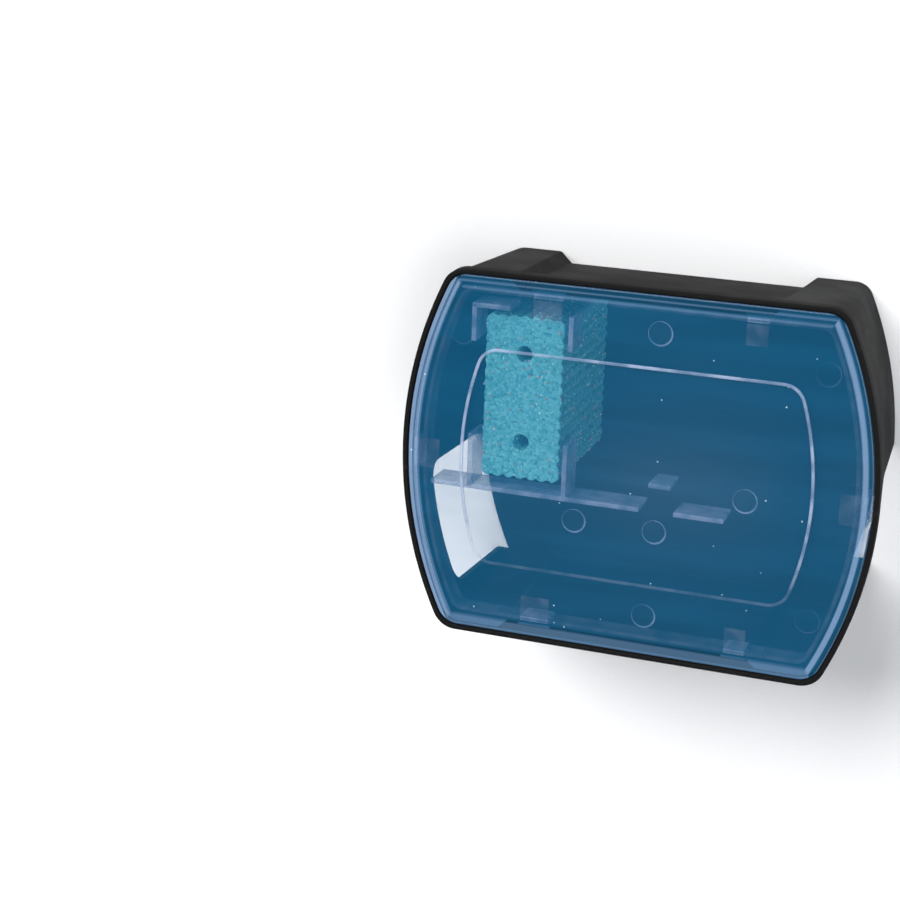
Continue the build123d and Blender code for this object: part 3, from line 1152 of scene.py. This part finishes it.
@dataclass
class Lid:
    """The clear lid: plate, skirt, raised border line, ribs, clips and moulding marks.

    Attributes:
        station: Shared sizes.
        edge: Radius of the plate's upper edge.
        skirt_thickness: Thickness of the skirt.
        skirt_depth: How far the skirt hangs below the plate.
        rib_thickness: Thickness of the ribs.
        rib_depth: How far the ribs hang below the plate.
        root: How far a hanging piece reaches into the plate.
        clip_thickness: Thickness of the clips.
        clip_depth: How far the clips hang below the plate.
        mark_radius: Radius of the round ejector marks.
        guide_gap: Gap between the bait block and the ribs at its sides.
        baffle_gap: Gap between the bait block and the long rib.
        guide_long: Length of the ribs round the block's far end.
        guide_low: Length of the ribs that run up from the long rib.
        baffle_end: X of the long rib's +X end.
        baffle_wall_gap: Gap between its other end and the skirt.
        short_baffle: Lowest and highest X of the short rib in line with it.
        tab: The same for the small rib behind that line.
        tab_setback: How far the small rib is set back from it.
        barb: How far a clip's barb stands out.
        barb_height: Height of the barb.
        bar_rounding: Radius of the skirt's and the border line's edges.
        border_width: Width of the border line.
        clip_mark_reach: Length of the shallow rectangle inboard of a clip.
        clip_mark_gap: Gap between that rectangle and the clip.
        clip_mark_depth: Depth of that rectangle.
    """

    station: Station
    edge: float = 0.5 * MM
    skirt_thickness: float = 1.5 * MM
    skirt_depth: float = 8.0 * MM
    rib_thickness: float = 1.8 * MM
    rib_depth: float = 13.0 * MM
    root: float = 0.25 * MM
    clip_thickness: float = 1.6 * MM
    clip_depth: float = 9.0 * MM
    mark_radius: float = 4.25 * MM
    guide_gap: float = 1.9 * MM
    baffle_gap: float = 2.6 * MM
    guide_long: float = 14.0 * MM
    guide_low: float = 20.0 * MM
    baffle_end: float = 2.5 * MM
    baffle_wall_gap: float = 1.5 * MM
    short_baffle: Point2 = (15.0 * MM, 33.0 * MM)
    tab: Point2 = (5.5 * MM, 13.5 * MM)
    tab_setback: float = 9.5 * MM
    barb: float = 0.8 * MM
    barb_height: float = 2.0 * MM
    bar_rounding: float = 0.35 * MM
    border_width: float = 1.2 * MM
    clip_mark_reach: float = 7.5 * MM
    clip_mark_gap: float = 0.5 * MM
    clip_mark_depth: float = 0.4 * MM

    def __post_init__(self) -> None:
        """Works out the places that follow from the bait's box."""
        low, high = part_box("bait_block")
        guide = self.guide_gap + self.rib_thickness / 2
        self.guide_x = (low.x - guide, high.x + guide)
        self.guide_top_y = high.y + guide
        self.baffle_y = low.y - self.baffle_gap - self.rib_thickness / 2
        self.border = Outline(64.0 * MM, 40.5 * MM, 7.5 * MM, 8.0 * MM)

    def plate(self) -> bpy.types.Object:
        """The flat plate with a rounded upper edge."""
        s = self.station
        rim, inset = s.rim, s.lid_inset
        rings = [
            raised(rim.loop(inset + 0.2 * MM), s.ledge_z),
            raised(rim.loop(inset), s.ledge_z + 0.2 * MM),
        ]
        for a in spaced(0.0, math.pi / 2, 4):
            rings.append(
                raised(
                    rim.loop(inset + self.edge * (1 - math.cos(a))),
                    s.plate_top - self.edge * (1 - math.sin(a)),
                )
            )
        made = plain_object("lid_plate", stacked("lid_plate", rings))
        soft_shaded(made.data)
        return made

    def swept(
        self,
        name: str,
        path: Sequence[Vector],
        size: Point2,
        material: bpy.types.Material,
        rounding: float,
    ) -> bpy.types.Object:
        """A bar of one section, swept along a closed level path.

        Args:
            name: Name of the piece.
            path: Points along the middle of the bar.
            size: Width across the path and height.
            material: Its finish.
            rounding: Radius of its edges.

        Returns:
            The piece.
        """
        mesh = bpy.data.meshes.new(name)
        count = len(path)
        mesh.from_pydata(path, [(i, (i + 1) % count) for i in range(count)], [])
        tree = GeometryTree("swept_bar", Width=0.001, Height=0.001, Rounding=0.0001)
        curve = tree.node("GeometryNodeMeshToCurve", ("Mesh", tree.given()))
        level = tree.node(
            "GeometryNodeSetCurveNormal", ("Curve", curve.outputs[0]), mode="Z_UP"
        )
        section = tree.node(
            "GeometryNodeCurvePrimitiveQuadrilateral",
            ("Width", tree.given("Width")),
            ("Height", tree.given("Height")),
        )
        soft = tree.node(
            "GeometryNodeFilletCurve",
            ("Curve", section.outputs[0]),
            ("Count", 3),
            ("Radius", tree.given("Rounding")),
            mode="POLY",
        )
        bar = tree.node(
            "GeometryNodeCurveToMesh",
            ("Curve", level.outputs[0]),
            ("Profile Curve", soft.outputs[0]),
        )
        smooth = tree.node("GeometryNodeSetShadeSmooth", ("Geometry", bar.outputs[0]))
        tree.finish(smooth.outputs[0], material)
        made = plain_object(name, mesh)
        return tree.run(made, Width=size[0], Height=size[1], Rounding=rounding)

    def skirt(self, material: bpy.types.Material) -> bpy.types.Object:
        """The skirt that hangs inside the tray's walls."""
        s = self.station
        inset = s.lid_inset + s.skirt_setback + self.skirt_thickness / 2
        height = self.skirt_depth + self.root
        path = raised(s.rim.loop(inset), s.ledge_z + self.root - height / 2)
        size = (self.skirt_thickness, height)
        return self.swept("lid_skirt", path, size, material, self.bar_rounding)

    def border_line(self, material: bpy.types.Material) -> bpy.types.Object:
        """The raised line that frames the plain panel on top."""
        s = self.station
        width = self.border_width
        height = s.lid_below_rim + self.root
        path = raised(self.border.loop(width / 2), s.height - height / 2)
        return self.swept("lid_border_line", path, (width, height), material, self.bar_rounding)

    def rib_boxes(self) -> list[tuple[float, float, float, float]]:
        """The ribs seen from above: lowest and highest X, then lowest and highest Y."""
        half = self.rib_thickness / 2
        left, right = self.guide_x
        top, base = self.guide_top_y, self.baffle_y
        long, low = self.guide_long, self.guide_low
        corner_x, corner_y = left - half, top + half
        s = self.station
        skirt_inner = s.lid_inset + s.skirt_setback + self.skirt_thickness
        start = -s.rim.end_x(skirt_inner, base) + self.baffle_wall_gap
        return [
            (corner_x, corner_x + long, top - half, top + half),
            (left - half, left + half, corner_y - long, corner_y),
            (right - half, right + half, corner_y - long, corner_y - self.rib_thickness),
            (left - half, left + half, base, base + low),
            (right - half, right + half, base, base + low),
            (start, self.baffle_end, base - half, base + half),
            (*self.short_baffle, base - half, base + half),
            (*self.tab, base + self.tab_setback - half, base + self.tab_setback + half),
        ]

    def ribs(self) -> bpy.types.Object:
        """The eight ribs, each drafted towards its foot."""
        s = self.station
        shape = bmesh.new()
        for x0, x1, y0, y1 in self.rib_boxes():
            rounded_box(
                shape,
                Vector((x0, y0, s.ledge_z - self.rib_depth)),
                Vector((x1, y1, s.ledge_z + self.root)),
                0.25 * MM,
                0.2 * MM,
            )
        return moulded("lid_ribs", shape)

    def clips(self) -> bpy.types.Object:
        """The six clips, each with a barb that hooks under the tray's wall."""
        s = self.station
        foot = s.ledge_z - self.clip_depth
        barb = foot + self.barb_height
        profile = [
            (0.0, s.ledge_z + self.root),
            (0.0, barb),
            (self.barb, barb),
            (0.0, foot),
            (-self.clip_thickness, foot),
            (-self.clip_thickness, s.ledge_z + self.root),
        ]
        shape = bmesh.new()
        for place in s.clip_places():
            half = place.width / 2
            sides = [
                [shape.verts.new(place.turned(out, along, z)) for out, z in profile]
                for along in (-half, half)
            ]
            faces = [shape.faces.new(side) for side in sides] + bridged(shape, *sides)
            edges = list({e for face in faces for e in face.edges})
            bmesh.ops.bevel(
                shape, geom=edges, offset=0.14 * MM, segments=2, profile=0.5, affect="EDGES"
            )
        return moulded("lid_clips", shape)

    def mark_places(self, faint: bool) -> list[Vector]:
        """Middles of the round ejector marks, on the plate's underside.

        Args:
            faint: True for the three near the corners, which are moulded shallower.

        Returns:
            The middles.
        """
        base = self.baffle_y
        corners = [(65.0 * MM, 44.5 * MM), (65.0 * MM, -44.5 * MM), (-65.0 * MM, 44.5 * MM)]
        others = [
            (6.5 * MM, 52.0 * MM),
            (6.5 * MM, -52.0 * MM),
            (40.0 * MM, base + 8.5 * MM),
            (-21.0 * MM, base - 7.5 * MM),
            (8.5 * MM, base - 7.5 * MM),
        ]
        return raised(corners if faint else others, self.station.ledge_z)

    def copied_to_marks(
        self,
        name: str,
        places: Sequence[Vector],
        tree: GeometryTree,
        shape: bpy.types.NodeSocket,
        material: bpy.types.Material,
        size: Point2,
    ) -> bpy.types.Object:
        """Puts a copy of a shape at each mark.

        Args:
            name: Name of the piece.
            places: The marks' middles.
            tree: The tree that makes the shape, with inputs Radius and Line.
            shape: The shape's geometry in that tree.
            material: Its finish.
            size: The tree's Radius and Line.

        Returns:
            The piece.
        """
        mesh = bpy.data.meshes.new(name)
        mesh.from_pydata(places, [], [])
        copies = tree.node(
            "GeometryNodeInstanceOnPoints", ("Points", tree.given()), ("Instance", shape)
        )
        tree.finish(copies.outputs[0], material)
        made = tree.run(plain_object(name, mesh), Radius=size[0], Line=size[1])
        soft_shaded(made.data)
        return made

    def mark_faces(self, material: bpy.types.Material) -> bpy.types.Object:
        """The flat faces of the ejector marks."""
        tree = GeometryTree("mark_faces", Radius=0.004, Line=0.0002)
        disc = tree.node(
            "GeometryNodeMeshCylinder",
            ("Vertices", 40),
            ("Radius", tree.given("Radius")),
            ("Depth", tree.given("Line")),
        )
        size = (self.mark_radius - 0.3 * MM, 0.1 * MM)
        places = self.mark_places(False)
        return self.copied_to_marks(
            "lid_mark_faces", places, tree, disc.outputs[0], material, size
        )

    def mark_rings(
        self, name: str, faint: bool, line: float, material: bpy.types.Material
    ) -> bpy.types.Object:
        """The ejector marks' rims, thick towards +X and -Y and thin on the other side: a painted
        highlight on the side of each mark that catches the light.

        Args:
            name: Name of the piece.
            faint: True for the marks near the corners.
            line: Radius of the rim at its thickest.
            material: Its finish.

        Returns:
            The piece.
        """
        tree = GeometryTree("mark_rings", Radius=0.004, Line=0.0002)
        circle = tree.node(
            "GeometryNodeCurvePrimitiveCircle", ("Resolution", 48), ("Radius", tree.given("Radius"))
        )
        place = tree.node("GeometryNodeInputPosition").outputs[0]
        axes = tree.node("ShaderNodeSeparateXYZ", (0, place)).outputs
        # Painted highlight: the rim swells towards +X and -Y, the side that catches the light.
        highlight_side = tree.math("SUBTRACT", tree.math("MULTIPLY", axes[0], 0.8), axes[1])
        share = tree.math("DIVIDE", highlight_side, tree.math("MULTIPLY", tree.given("Radius"), 2.6))
        thickness = tree.math("ADD", share, 0.62)
        section = tree.node(
            "GeometryNodeCurvePrimitiveCircle", ("Resolution", 6), ("Radius", tree.given("Line"))
        )
        rim = tree.node(
            "GeometryNodeCurveToMesh",
            ("Curve", circle.outputs[0]),
            ("Profile Curve", section.outputs[0]),
            ("Scale", thickness),
        )
        places = self.mark_places(faint)
        size = (self.mark_radius, line)
        return self.copied_to_marks(name, places, tree, rim.outputs[0], material, size)

    def clip_marks(self, material: bpy.types.Material) -> bpy.types.Object:
        """The shallow rectangles that the mould leaves inboard of the clips."""
        reach, start = self.clip_mark_reach, self.clip_thickness + self.clip_mark_gap
        rise = Vector((0.0, 0.0, self.clip_mark_depth))
        shape = bmesh.new()
        for place in self.station.clip_places():
            half = place.width / 2
            corners = [
                place.turned(-out, along, self.station.ledge_z)
                for out, along in (
                    (start, -half), (start, half), (start + reach, half), (start + reach, -half)
                )
            ]
            low = [shape.verts.new(corner) for corner in corners]
            high = [shape.verts.new(corner + rise) for corner in corners]
            bridged(shape, low, high)
            shape.faces.new(low)
            shape.faces.new(high)
        return moulded("lid_clip_marks", shape)

    def build(self) -> list[bpy.types.Object]:
        """Builds the lid's pieces."""
        clear = ClearPlastic().material(
            "clear_plastic", self.station.rim, self.station.lid_inset
        )
        thick = ThickPlastic().material("clear_plastic_edge")
        thin = ThickPlastic(cover=(0.05, 0.09)).material("clear_plastic_skirt")
        # The border line is painted fainter at the -Y side, as painted shade on the side away from
        # the light.
        line = ThickPlastic(
            colour=(0.3, 0.41, 0.62), lit=(0.46, 0.56, 0.76), cover=(0.26, 0.5), shaded_side_share=0.13
        ).material("clear_plastic_line")
        faint = ThickPlastic(cover=(0.06, 0.12)).material("clear_plastic_faint")
        dim = ThickPlastic(
            colour=(0.006, 0.045, 0.085), lit=(0.012, 0.06, 0.11), cover=(0.2, 0.28)
        ).material("clear_plastic_mark")
        rings = self.mark_rings("lid_mark_rings", False, 0.36 * MM, thick)
        corner_rings = self.mark_rings("lid_corner_mark_rings", True, 0.24 * MM, faint)
        pieces = [
            (self.plate(), clear),
            (self.skirt(thin), thin),
            (self.border_line(line), line),
            (self.ribs(), thick),
            (self.clips(), thick),
            (self.clip_marks(faint), faint),
            (rings, thick),
            (corner_rings, faint),
            (self.mark_faces(dim), dim),
        ]
        for piece, material in pieces:
            dress(piece, material, Body.LID)
            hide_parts("lid")
        return [piece for piece, _ in pieces]


@dataclass
class BaitBlock:
    """The bait: a pressed block of wax and meal with grooves down its sides and two holes.

    Attributes:
        corner: Radius of the upright corners.
        groove: Radius of the grooves.
        pitch: Distance between grooves.
        hole: Radius of the two holes.
        hole_gap: Distance between the holes' middles.
        voxel: Size of the mesh that takes the rough surface.
        rough: Depth of the rough surface.
        shrink: How far the block is pulled in, so that it stays in its box.
    """

    corner: float = 3.0 * MM
    groove: float = 0.9 * MM
    pitch: float = 4.2 * MM
    hole: float = 2.6 * MM
    hole_gap: float = 32.5 * MM
    voxel: float = 0.62 * MM
    rough: float = 0.5 * MM
    shrink: float = 0.05 * MM

    def __post_init__(self) -> None:
        """Takes the block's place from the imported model."""
        self.low, self.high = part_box("bait_block")
        self.middle = (self.low + self.high) / 2

    def side(self, length: float, offset: float) -> list[Point2]:
        """One grooved side along +X, at Y = offset, from -X to +X.

        Args:
            length: The block's length on that side.
            offset: Distance from the middle to that side.

        Returns:
            The side's points, with a rounded corner at its +X end.
        """
        count = int((length - 2 * self.corner) / self.pitch) + 1
        points = []
        for i in range(count):
            x = (i - (count - 1) / 2) * self.pitch
            points += arc((x, offset), self.groove, math.pi, 2 * math.pi, 6)
        bend = (length / 2 - self.corner, offset - self.corner)
        return points + arc(bend, self.corner, math.pi / 2, 0.0, 6)

    def outline(self) -> list[Point2]:
        """The block seen from above."""
        size = self.high - self.low
        length, width = size.x - 2 * self.shrink, size.y - 2 * self.shrink
        points: list[Point2] = []
        sides = ((length, width / 2), (width, length / 2)) * 2
        for turn, (span, offset) in enumerate(sides):
            spin = Matrix.Rotation(-turn * math.pi / 2, 2)
            points += [tuple(spin @ Vector(p)) for p in self.side(span, offset)]
        return [(x + self.middle.x, y + self.middle.y) for x, y in points]

    def core(self) -> bpy.types.Object:
        """The smooth block with its two holes."""
        outline = self.outline()
        top, base = self.high.z - self.shrink, self.low.z + self.shrink
        made = plain_object(
            "bait_moulding", stacked("bait", [raised(outline, base), raised(outline, top)])
        )
        for side in (-1, 1):
            y = self.middle.y + side * self.hole_gap / 2
            circle = arc((self.middle.x, y), self.hole, 0.0, 2 * math.pi, 24)[:-1]
            reach = 1.0 * MM
            drill = stacked("drill", [raised(circle, base - reach), raised(circle, top + reach)])
            cut_away(made, drill)
        step = made.modifiers.new("even", "REMESH")
        step.mode = "VOXEL"
        step.voxel_size = self.voxel
        return settle(made)

    def roughened(self, made: bpy.types.Object, wax: BaitWax) -> bpy.types.Object:
        """Presses crumbs and pits into the block's surface."""
        tree = GeometryTree("rough_surface", Depth=0.0005, Crumbs=900.0)
        place = tree.node("GeometryNodeInputPosition").outputs[0]
        crumbs = tree.node(
            "ShaderNodeTexVoronoi", ("Vector", place), ("Scale", tree.given("Crumbs"))
        ).outputs["Distance"]
        lumps = tree.node(
            "ShaderNodeTexNoise", ("Vector", place), ("Scale", 330.0), ("Detail", 4.0)
        )
        height = tree.math("ADD", tree.math("MULTIPLY", crumbs, 0.6), lumps.outputs[0])
        depth = tree.math("MULTIPLY", height, tree.math("MULTIPLY", tree.given("Depth"), -1.0))
        normal = tree.node("GeometryNodeInputNormal").outputs[0]
        push = tree.node(
            "ShaderNodeVectorMath", (0, normal), ("Scale", depth), operation="SCALE"
        ).outputs[0]
        moved = tree.node("GeometryNodeSetPosition", ("Geometry", tree.given()), ("Offset", push))
        smooth = tree.node("GeometryNodeSetShadeSmooth", ("Geometry", moved.outputs[0]))
        tree.finish(smooth.outputs[0], wax.material("bait_wax"))
        return tree.run(made, Depth=self.rough, Crumbs=wax.crumb_scale)

    def scattered(
        self,
        name: str,
        on: bpy.types.Object,
        material: bpy.types.Material,
        density: float,
        radius: float,
        seed: int,
    ) -> bpy.types.Object:
        """Grains pressed into the block's surface at random.

        Args:
            name: Name of the piece.
            on: The block.
            material: The grains' finish.
            density: Grains in a square metre.
            radius: A grain's usual radius.
            seed: Which random scatter.

        Returns:
            The piece.
        """
        tree = GeometryTree("scattered_grains", Density=1000.0, Radius=0.0005, Seed=1)
        points = tree.node(
            "GeometryNodeDistributePointsOnFaces",
            ("Mesh", tree.given()),
            ("Density", tree.given("Density")),
            ("Seed", tree.given("Seed")),
        )
        ball = tree.node(
            "GeometryNodeMeshIcoSphere", ("Radius", tree.given("Radius")), ("Subdivisions", 2)
        )
        turn = tree.node(
            "FunctionNodeRandomValue",
            ("Min", (0.0, 0.0, 0.0)),
            ("Max", (6.28, 6.28, 6.28)),
            ("Seed", tree.given("Seed")),
            data_type="FLOAT_VECTOR",
        )
        size = tree.node(
            "FunctionNodeRandomValue",
            ("Min", (0.55, 0.5, 0.4)),
            ("Max", (1.5, 1.0, 0.9)),
            ("Seed", tree.given("Seed")),
            data_type="FLOAT_VECTOR",
        )
        copies = tree.node(
            "GeometryNodeInstanceOnPoints",
            ("Points", points.outputs[0]),
            ("Instance", ball.outputs[0]),
            ("Rotation", turn.outputs[0]),
            ("Scale", size.outputs[0]),
        )
        tree.finish(copies.outputs[0], material)
        made = plain_object(name, on.data.copy())
        tree.run(made, Density=density, Radius=radius, Seed=seed)
        made.data.shade_smooth()
        return made

    def build(self) -> list[bpy.types.Object]:
        """Builds the block and the grains in its surface."""
        wax = BaitWax()
        block = self.roughened(self.core(), wax)
        husk = Grain((0.42, 0.24, 0.19), (0.72, 0.52, 0.44)).material("bait_husk")
        crumb = Grain((0.14, 0.55, 0.55), (0.5, 0.86, 0.84)).material("bait_crumb")
        husks = self.scattered("bait_husks", block, husk, 16000.0, 0.55 * MM, 7)
        crumbs = self.scattered("bait_crumbs", block, crumb, 60000.0, 0.42 * MM, 3)
        for piece, material in ((block, block.data.materials[0]), (husks, husk), (crumbs, crumb)):
            dress(piece, material, Body.BAIT)
            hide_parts("bait_block")
        return [block, husks, crumbs]


# ---------------------------------------------------------------- studio


@dataclass(frozen=True)
class SoftSun:
    """Broad even light from one side of the studio.

    Attributes:
        name: Name of the lamp.
        towards: Direction from the object to the light.
        strength: Its strength.
        spread: Angle that it fills, in degrees.
        colour: Its colour.
    """

    name: str
    towards: tuple[float, float, float]
    strength: float
    spread: float
    colour: Colour = (1.0, 1.0, 1.0)

    def build(self) -> bpy.types.Object:
        """Hangs the lamp."""
        lamp = bpy.data.lights.new(self.name, "SUN")
        lamp.energy = self.strength
        lamp.angle = math.radians(self.spread)
        lamp.color = self.colour
        made = bpy.data.objects.new(self.name, lamp)
        made.rotation_euler = Vector(self.towards).to_track_quat("Z", "Y").to_euler()
        bpy.context.scene.collection.objects.link(made)
        return made


@dataclass(frozen=True)
class SoftDisk:
    """A weak round lamp that shows in the lid as a pale patch.

    Attributes:
        name: Name of the lamp.
        place: Where it hangs. It faces the object.
        radius: Its radius.
        power: Its power in watts.
        colour: Its colour.
    """

    name: str
    place: tuple[float, float, float]
    radius: float
    power: float
    colour: Colour

    def build(self) -> bpy.types.Object:
        """Hangs the lamp."""
        lamp = bpy.data.lights.new(self.name, "AREA")
        lamp.shape = "DISK"
        lamp.size = 2 * self.radius
        lamp.energy = self.power
        lamp.color = self.colour
        made = bpy.data.objects.new(self.name, lamp)
        made.location = self.place
        made.rotation_euler = Vector(self.place).to_track_quat("Z", "Y").to_euler()
        bpy.context.scene.collection.objects.link(made)
        return made


@dataclass(frozen=True)
class Studio:
    """Pale floor, soft light and the camera.

    Attributes:
        floor_size: Width of the floor.
        camera_at: The camera's place.
        camera_view: The way it looks.
        camera_up: The way its top points.
        lens: Focal length for a 36 mm sensor.
    """

    floor_size: float = 6.0
    camera_at: tuple[float, float, float] = (0.168263, 0.225334, 0.743040)
    camera_view: tuple[float, float, float] = (-0.31399, -0.29868, -0.90122)
    camera_up: tuple[float, float, float] = (-0.12828, 0.95387, -0.27144)
    lens: float = 83.44

    def camera(self) -> None:
        """Sets up the camera and makes it the scene's own."""
        data = bpy.data.cameras.new("camera")
        data.lens = self.lens
        data.sensor_width = 36.0
        data.clip_start = 0.01
        made = bpy.data.objects.new("camera", data)
        back = -Vector(self.camera_view).normalized()
        right = Vector(self.camera_up).cross(back).normalized()
        up = back.cross(right)
        turn = Matrix((right, up, back)).transposed().to_4x4()
        made.matrix_world = Matrix.Translation(self.camera_at) @ turn
        bpy.context.scene.collection.objects.link(made)
        bpy.context.scene.camera = made

    def floor(self) -> None:
        """Lays the pale floor."""
        half = self.floor_size / 2
        shape = bmesh.new()
        signs = ((-1, -1), (1, -1), (1, 1), (-1, 1))
        corners = [shape.verts.new((x * half, y * half, 0.0)) for x, y in signs]
        shape.faces.new(corners)
        made = plain_object("studio_floor", mesh_from(shape, "studio_floor"))
        made.data.materials.append(StudioPaper().material("studio_paper"))

    def world(self) -> None:
        """A dim even surround, so that little shows in the lid but the lamps."""
        world = bpy.data.worlds.new("studio")
        world.use_nodes = True
        back = world.node_tree.nodes["Background"]
        back.inputs["Color"].default_value = (0.75, 0.85, 1.0, 1.0)
        back.inputs["Strength"].default_value = 0.06
        bpy.context.scene.world = world

    def build(self) -> None:
        """Builds the whole studio."""
        bpy.context.scene.view_settings.view_transform = "Standard"
        self.camera()
        self.floor()
        self.world()
        SoftSun("key", (-0.42, 0.60, 0.68), 3.9, 50.0).build()
        SoftSun("fill", (0.52, -0.12, 0.84), 1.9, 46.0, (0.95, 0.97, 1.0)).build()
        SoftDisk("sheen", (-0.408, -0.627, 1.918), 0.085, 0.5, (0.86, 0.86, 1.0)).build()


def main() -> None:
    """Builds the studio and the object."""
    logging.basicConfig(level=logging.INFO, format="%(name)s: %(message)s")
    Studio().build()
    station = Station()
    for assembly in (Tray(station), Lid(station), BaitBlock()):
        for piece in assembly.build():
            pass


if __name__ == "__main__":
    main()
